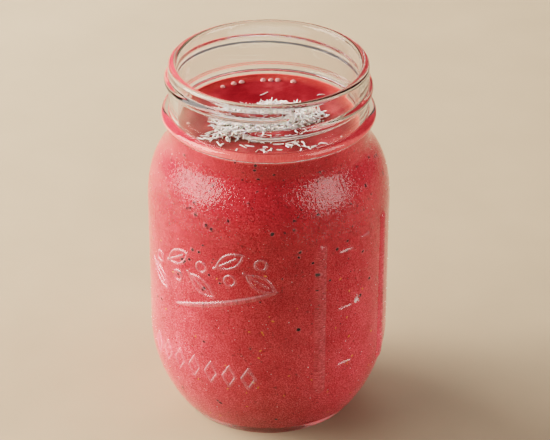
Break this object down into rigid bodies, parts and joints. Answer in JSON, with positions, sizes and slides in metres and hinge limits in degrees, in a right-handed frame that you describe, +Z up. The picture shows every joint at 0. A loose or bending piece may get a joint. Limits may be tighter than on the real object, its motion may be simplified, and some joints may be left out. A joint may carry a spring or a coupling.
{
  "type": "strawberry smoothie",
  "caption": "Thick strawberry smoothie in a clear screw-top glass jar with a beaded neck and raised measuring marks, topped with a loose heap of fine coconut shreds.",
  "frame": {"origin": "middle of the flat ring that the jar rests on", "axes": "+Z up along the jar's axis to its open mouth; the raised leaf spray faces -Y and the two panels of measuring marks face +X and -X"},
  "size_m": [0.0826, 0.0822, 0.1285],
  "materials": {
    "clear_glass": "clear pressed glass, polished",
    "smoothie": "moist thick blended berries",
    "coconut": "dry matt shreds"
  },
  "bodies": {
    "root": {"jar": "clear_glass", "smoothie": "smoothie", "coconut_heap": "coconut"}
  },
  "joints": []
}
